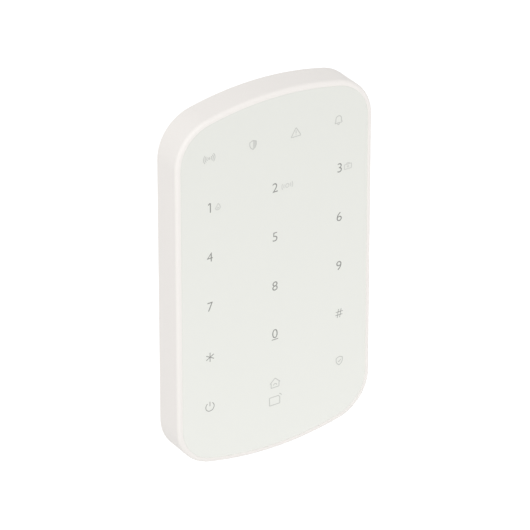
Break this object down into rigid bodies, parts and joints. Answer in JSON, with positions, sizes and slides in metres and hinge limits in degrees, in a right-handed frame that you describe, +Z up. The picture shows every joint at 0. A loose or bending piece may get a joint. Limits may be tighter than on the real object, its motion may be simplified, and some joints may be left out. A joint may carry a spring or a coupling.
{
  "type": "alarm keypad panel",
  "caption": "Flat wall keypad for an alarm: white case with a touch panel of plain digits and symbols, on a wall bracket with a lock screw and tamper plunger.",
  "frame": {"origin": "centre of the wall bracket's back face, on the wall plane", "axes": "+X to the right seen from the front, +Y into the wall, +Z up; the touch panel faces -Y"},
  "size_m": [0.0974, 0.0206, 0.172],
  "materials": {
    "case": "fine matt texture",
    "panel": "semi-gloss",
    "tape": "matt",
    "film": "satin",
    "mask": "matt",
    "lamp": "clear",
    "board": "solder resist",
    "chassis": "matt",
    "steel": "plated",
    "cell": "printed sleeve",
    "spring": "plated",
    "contact": "plated",
    "bracket": "matt",
    "washer": "nylon",
    "brass": "turned",
    "switch": "matt",
    "plunger": "satin",
    "knob": "matt",
    "chip": "matt",
    "shield": "tinned",
    "copper": "bare",
    "buzzer": "matt",
    "chip_part": "matt",
    "header": "matt"
  },
  "bodies": {
    "bracket": {"wall_bracket": "bracket"},
    "keypad": {"front_housing": "case", "glass_panel": "panel", "panel_tape": "tape", "diffuser_film": "film", "light_mask": "mask", "key_leds": "lamp", "status_leds": "lamp", "main_board": "board", "rear_chassis": "chassis", "chassis_screws": "steel", "battery_cells": "cell", "battery_springs": "spring", "battery_plates": "contact", "lock_insert": "brass", "tamper_switch": "switch", "tamper_spring": "spring", "power_switch_body": "steel", "microcontroller": "chip", "touch_controllers": "chip", "radio_module": "shield", "radio_antenna": "copper", "card_reader_coil": "copper", "buzzer": "buzzer", "chip_parts": "chip_part", "battery_header": "header"},
    "tamper_plunger": {"tamper_plunger": "plunger"},
    "power_knob": {"power_switch_knob": "knob"},
    "lock_washer": {"lock_washer": "washer"},
    "lock_screw": {"lock_screw": "steel"}
  },
  "joints": [
    {"name": "keypad_lift", "type": "slide", "parent": "bracket", "child": "keypad", "axis": [0, 0, 1], "range_m": [0, 0.005]},
    {"name": "tamper_press", "type": "slide", "parent": "keypad", "child": "tamper_plunger", "axis": [0, 1, 0], "range_m": [0, 0.0015], "stiffness_N_per_m": 60, "springref_m": 0.003, "deforming": ["tamper_spring"]},
    {"name": "power_slide", "type": "slide", "parent": "keypad", "child": "power_knob", "axis": [-1, 0, 0], "range_m": [0, 0.002]},
    {"name": "lock_travel", "type": "slide", "parent": "bracket", "child": "lock_washer", "axis": [0, 0, -1], "range_m": [0, 0.005]},
    {"name": "lock_turn", "type": "hinge", "parent": "lock_washer", "child": "lock_screw", "pos_m": [0, -0.0094, -0.084], "axis": [0, 0, -1], "range_deg": [0, 3601]}
  ],
  "couplings": [
    {"joint": "lock_turn", "follows": "lock_travel", "rad_per_m": 12566}
  ]
}
